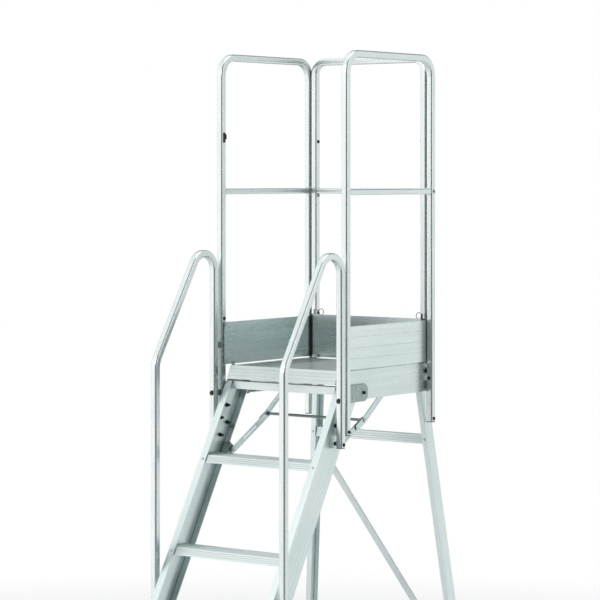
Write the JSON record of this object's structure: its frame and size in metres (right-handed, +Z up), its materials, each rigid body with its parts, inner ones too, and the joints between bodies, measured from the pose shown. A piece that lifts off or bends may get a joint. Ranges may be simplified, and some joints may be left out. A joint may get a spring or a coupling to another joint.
{
  "type": "platform step ladder",
  "caption": "Folding platform step ladder with channel stringers and rear legs, guard hoops, toe boards, bent handrails and jointed stays that lock it open.",
  "frame": {"origin": "on the floor, midway across the ladder and midway along its footprint", "axes": "+Z up, +Y the climbing direction from the steps to the rear guard, +X to the climber's right"},
  "size_m": [0.7668, 1.5134, 2.6],
  "materials": {
    "extrusion": "mill-finish extrusion",
    "tube": "satin drawn tube",
    "deck": "ribbed extrusion",
    "toe_board": "satin extrusion",
    "tread": "ribbed extrusion",
    "galvanised": "zinc plated",
    "bright_steel": "bright zinc",
    "black_fastener": "black oxide",
    "black_plastic": "moulded",
    "grey_plastic": "moulded",
    "rubber": "moulded rubber"
  },
  "bodies": {
    "platform": {"deck_panel": "deck", "deck_bearers": "extrusion", "deck_rear_rail": "extrusion", "deck_nosing": "deck", "deck_rail_left": "extrusion", "deck_rail_right": "extrusion", "toe_board_left": "toe_board", "toe_board_right": "toe_board", "toe_board_rear": "toe_board", "guard_hoop_left": "tube", "guard_hoop_right": "tube", "guard_hoop_rear": "tube", "mid_rail_left": "tube", "mid_rail_right": "tube", "mid_rail_rear": "tube", "handrail_left": "tube", "handrail_right": "tube", "guard_bolts": "black_fastener", "guard_spacers": "grey_plastic", "tube_end_plugs": "grey_plastic", "toe_board_lugs": "galvanised", "toe_board_corner_pins": "black_fastener", "chain_hook": "black_fastener", "front_pivot_bolts": "black_fastener", "stay_head_pins": "bright_steel", "rear_pivot_bolts": "black_fastener", "pivot_sleeves": "galvanised"},
    "front_frame": {"stringer_left": "extrusion", "stringer_right": "extrusion", "top_crossbar": "extrusion", "tread_1": "tread", "tread_2": "tread", "tread_3": "tread", "tread_4": "tread", "tread_rivets": "bright_steel", "front_feet": "rubber", "hinge_plate_left": "galvanised", "hinge_plate_right": "galvanised", "hinge_rivets": "bright_steel", "stay_brackets": "galvanised", "stay_foot_pins": "bright_steel", "handrail_saddles": "galvanised", "stringer_screws": "black_fastener"},
    "rear_frame": {"rear_leg_left": "extrusion", "rear_leg_right": "extrusion", "rear_crossbar_upper": "extrusion", "rear_crossbar_lower": "extrusion", "rear_brace": "extrusion", "rear_rivets": "bright_steel", "rear_feet": "rubber"},
    "stay_lower": {"stay_lower_link_left": "galvanised", "stay_lower_link_right": "galvanised", "stay_cross_rod": "galvanised"},
    "stay_upper": {"stay_upper_link_left": "galvanised", "stay_upper_link_right": "galvanised", "stay_knee_rivets": "bright_steel"},
    "knob_left": {"handrail_knob_left": "black_plastic"},
    "knob_right": {"handrail_knob_right": "black_plastic"},
    "pin_left": {"toe_pin_left": "black_fastener"},
    "pin_right": {"toe_pin_right": "black_fastener"}
  },
  "joints": [
    {"name": "front_fold", "type": "hinge", "parent": "platform", "child": "front_frame", "pos_m": [0, 0.2038, 1.418], "axis": [1, 0, 0], "range_deg": [0, 120]},
    {"name": "rear_fold", "type": "hinge", "parent": "platform", "child": "rear_frame", "pos_m": [0, 0.6008, 1.468], "axis": [1, 0, 0], "range_deg": [0, 85]},
    {"name": "stay_lower_swing", "type": "hinge", "parent": "front_frame", "child": "stay_lower", "pos_m": [0, 0.0648, 1.203], "axis": [1, 0, 0], "range_deg": [0, 30.75]},
    {"name": "stay_upper_swing", "type": "hinge", "parent": "platform", "child": "stay_upper", "pos_m": [0, 0.4368, 1.44], "axis": [1, 0, 0], "range_deg": [-27.1, 0]},
    {"name": "knob_left_turn", "type": "hinge", "parent": "platform", "child": "knob_left", "pos_m": [-0.274, 0.0398, 1.402], "axis": [0, -1, 0], "range_deg": [0, 360]},
    {"name": "knob_right_turn", "type": "hinge", "parent": "platform", "child": "knob_right", "pos_m": [0.274, 0.0398, 1.402], "axis": [0, -1, 0], "range_deg": [0, 360]},
    {"name": "pin_left_pull", "type": "slide", "parent": "platform", "child": "pin_left", "axis": [1, 0, 0], "range_m": [0, 0.014]},
    {"name": "pin_right_pull", "type": "slide", "parent": "platform", "child": "pin_right", "axis": [-1, 0, 0], "range_m": [0, 0.014]}
  ],
  "couplings": [
    {"joint": "rear_fold", "follows": "front_fold", "ratio": 0.708},
    {"joint": "stay_lower_swing", "follows": "front_fold", "ratio": 0.25619},
    {"joint": "stay_upper_swing", "follows": "front_fold", "ratio": -0.22576}
  ]
}
